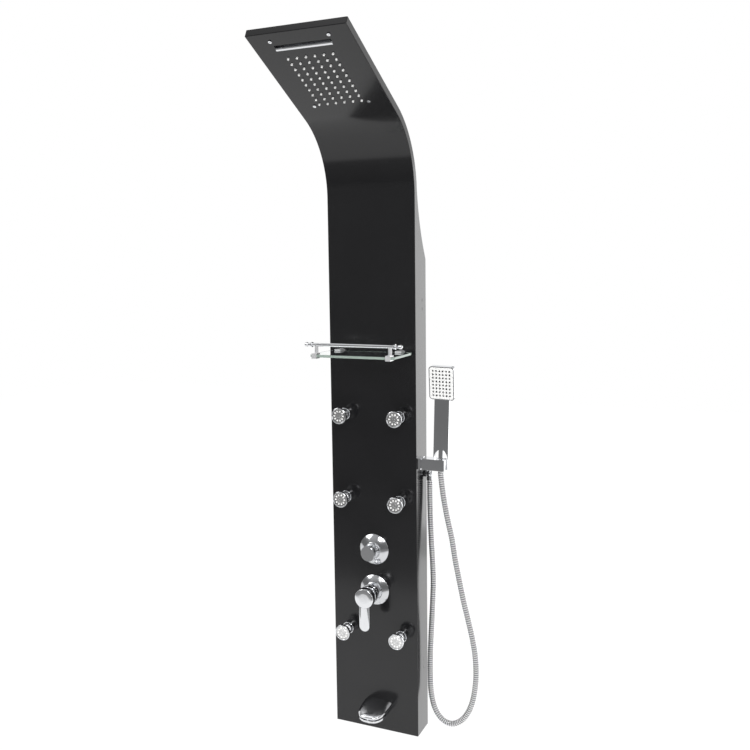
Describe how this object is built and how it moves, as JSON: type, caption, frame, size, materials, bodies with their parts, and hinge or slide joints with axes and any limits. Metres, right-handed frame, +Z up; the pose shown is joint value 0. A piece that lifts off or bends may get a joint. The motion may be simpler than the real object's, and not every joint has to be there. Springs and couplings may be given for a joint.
{
  "type": "shower panel",
  "caption": "Wall-hung black shower panel with a curved rain and waterfall head, swivel body jets, diverter, lever mixer, spout, glass shelf and a handset on a ribbed hose.",
  "frame": {"origin": "on the wall, in the middle of the upper wall bracket's back face", "axes": "+X to the user's right as they face the panel, +Y into the wall, +Z up"},
  "size_m": [0.3738, 0.4118, 1.601],
  "materials": {
    "black_paint": "gloss",
    "steel": "satin",
    "chrome": "polished",
    "hose_chrome": "polished, ribbed",
    "brass": "machined",
    "rubber": "matt",
    "white_rubber": "matt, silicone",
    "white_plastic": "gloss",
    "grey_plastic": "matt",
    "hose_plastic": "matt, braided sleeve",
    "glass": "clear, polished edges"
  },
  "bodies": {
    "column": {"panel_shell": "black_paint", "bottom_plate": "black_paint", "rear_rails": "steel", "rail_rivets": "black_paint", "wall_brackets": "steel", "rain_nozzles": "white_rubber", "rain_chamber": "steel", "head_screws": "chrome", "waterfall_lip": "chrome", "waterfall_chamber": "steel", "rain_hose": "hose_plastic", "waterfall_hose": "hose_plastic", "spout_hose": "hose_plastic", "handset_feed_hose": "hose_plastic", "jet_risers": "steel", "diverter_body": "brass", "diverter_rose": "chrome", "mixer_body": "brass", "mixer_cartridge": "grey_plastic", "mixer_rose": "chrome", "mixer_sleeve": "chrome", "supply_inlets": "brass", "jet_sockets": "chrome", "jet_nuts": "brass", "spout_hood": "chrome", "spout_lip": "chrome", "spout_aerator": "chrome", "spout_tail": "brass", "shelf_glass": "glass", "shelf_clamps": "chrome", "clamp_screws": "steel", "shelf_rail": "chrome", "rail_posts": "chrome", "holder_base": "chrome", "holder_fork": "chrome", "hose_outlet": "chrome", "hose_washer": "rubber", "handset_hose": "hose_chrome"},
    "diverter_turn": {"diverter_disc": "white_plastic", "diverter_stem": "brass", "diverter_knob": "chrome"},
    "mixer_turn": {"mixer_collar": "chrome", "lever_pin": "steel"},
    "mixer_lift": {"mixer_lever": "chrome"},
    "handset": {"handset_body": "chrome", "handset_face": "white_plastic", "handset_nozzles": "grey_plastic", "handset_nut": "chrome"},
    "jet_turn_1": {"jet_seat_1": "white_plastic"},
    "jet_tilt_1": {"jet_head_1": "chrome"},
    "jet_turn_2": {"jet_seat_2": "white_plastic"},
    "jet_tilt_2": {"jet_head_2": "chrome"},
    "jet_turn_3": {"jet_seat_3": "white_plastic"},
    "jet_tilt_3": {"jet_head_3": "chrome"},
    "jet_turn_4": {"jet_seat_4": "white_plastic"},
    "jet_tilt_4": {"jet_head_4": "chrome"},
    "jet_turn_5": {"jet_seat_5": "white_plastic"},
    "jet_tilt_5": {"jet_head_5": "chrome"},
    "jet_turn_6": {"jet_seat_6": "white_plastic"},
    "jet_tilt_6": {"jet_head_6": "chrome"}
  },
  "joints": [
    {"name": "diverter_turn", "type": "hinge", "parent": "column", "child": "diverter_turn", "pos_m": [0, -0.109, -0.59], "axis": [0, -1, 0], "continuous": true},
    {"name": "mixer_turn", "type": "hinge", "parent": "column", "child": "mixer_turn", "pos_m": [0, -0.109, -0.692], "axis": [0, -1, 0], "range_deg": [-45, 45]},
    {"name": "mixer_lift", "type": "hinge", "parent": "mixer_turn", "child": "mixer_lift", "pos_m": [0, -0.109, -0.692], "axis": [-1, 0, 0], "range_deg": [0, 18]},
    {"name": "jet_turn_1", "type": "hinge", "parent": "column", "child": "jet_turn_1", "pos_m": [-0.0705, -0.074, -0.261], "axis": [0, -1, 0], "range_deg": [-90, 90]},
    {"name": "jet_tilt_1", "type": "hinge", "parent": "jet_turn_1", "child": "jet_tilt_1", "pos_m": [-0.0705, -0.074, -0.261], "axis": [-1, 0, 0], "range_deg": [-15, 15]},
    {"name": "jet_turn_2", "type": "hinge", "parent": "column", "child": "jet_turn_2", "pos_m": [0.0705, -0.074, -0.261], "axis": [0, -1, 0], "range_deg": [-90, 90]},
    {"name": "jet_tilt_2", "type": "hinge", "parent": "jet_turn_2", "child": "jet_tilt_2", "pos_m": [0.0705, -0.074, -0.261], "axis": [-1, 0, 0], "range_deg": [-15, 15]},
    {"name": "jet_turn_3", "type": "hinge", "parent": "column", "child": "jet_turn_3", "pos_m": [-0.0705, -0.074, -0.464], "axis": [0, -1, 0], "range_deg": [-90, 90]},
    {"name": "jet_tilt_3", "type": "hinge", "parent": "jet_turn_3", "child": "jet_tilt_3", "pos_m": [-0.0705, -0.074, -0.464], "axis": [-1, 0, 0], "range_deg": [-15, 15]},
    {"name": "jet_turn_4", "type": "hinge", "parent": "column", "child": "jet_turn_4", "pos_m": [0.0705, -0.074, -0.464], "axis": [0, -1, 0], "range_deg": [-90, 90]},
    {"name": "jet_tilt_4", "type": "hinge", "parent": "jet_turn_4", "child": "jet_tilt_4", "pos_m": [0.0705, -0.074, -0.464], "axis": [-1, 0, 0], "range_deg": [-15, 15]},
    {"name": "jet_turn_5", "type": "hinge", "parent": "column", "child": "jet_turn_5", "pos_m": [-0.0705, -0.074, -0.798], "axis": [0, -1, 0], "range_deg": [-90, 90]},
    {"name": "jet_tilt_5", "type": "hinge", "parent": "jet_turn_5", "child": "jet_tilt_5", "pos_m": [-0.0705, -0.074, -0.798], "axis": [-1, 0, 0], "range_deg": [-15, 15]},
    {"name": "jet_turn_6", "type": "hinge", "parent": "column", "child": "jet_turn_6", "pos_m": [0.0705, -0.074, -0.798], "axis": [0, -1, 0], "range_deg": [-90, 90]},
    {"name": "jet_tilt_6", "type": "hinge", "parent": "jet_turn_6", "child": "jet_tilt_6", "pos_m": [0.0705, -0.074, -0.798], "axis": [-1, 0, 0], "range_deg": [-15, 15]},
    {"name": "handset_lift", "type": "slide", "parent": "column", "child": "handset", "axis": [0.0262, 0, 0.9997], "range_m": [0, 0.06]}
  ]
}
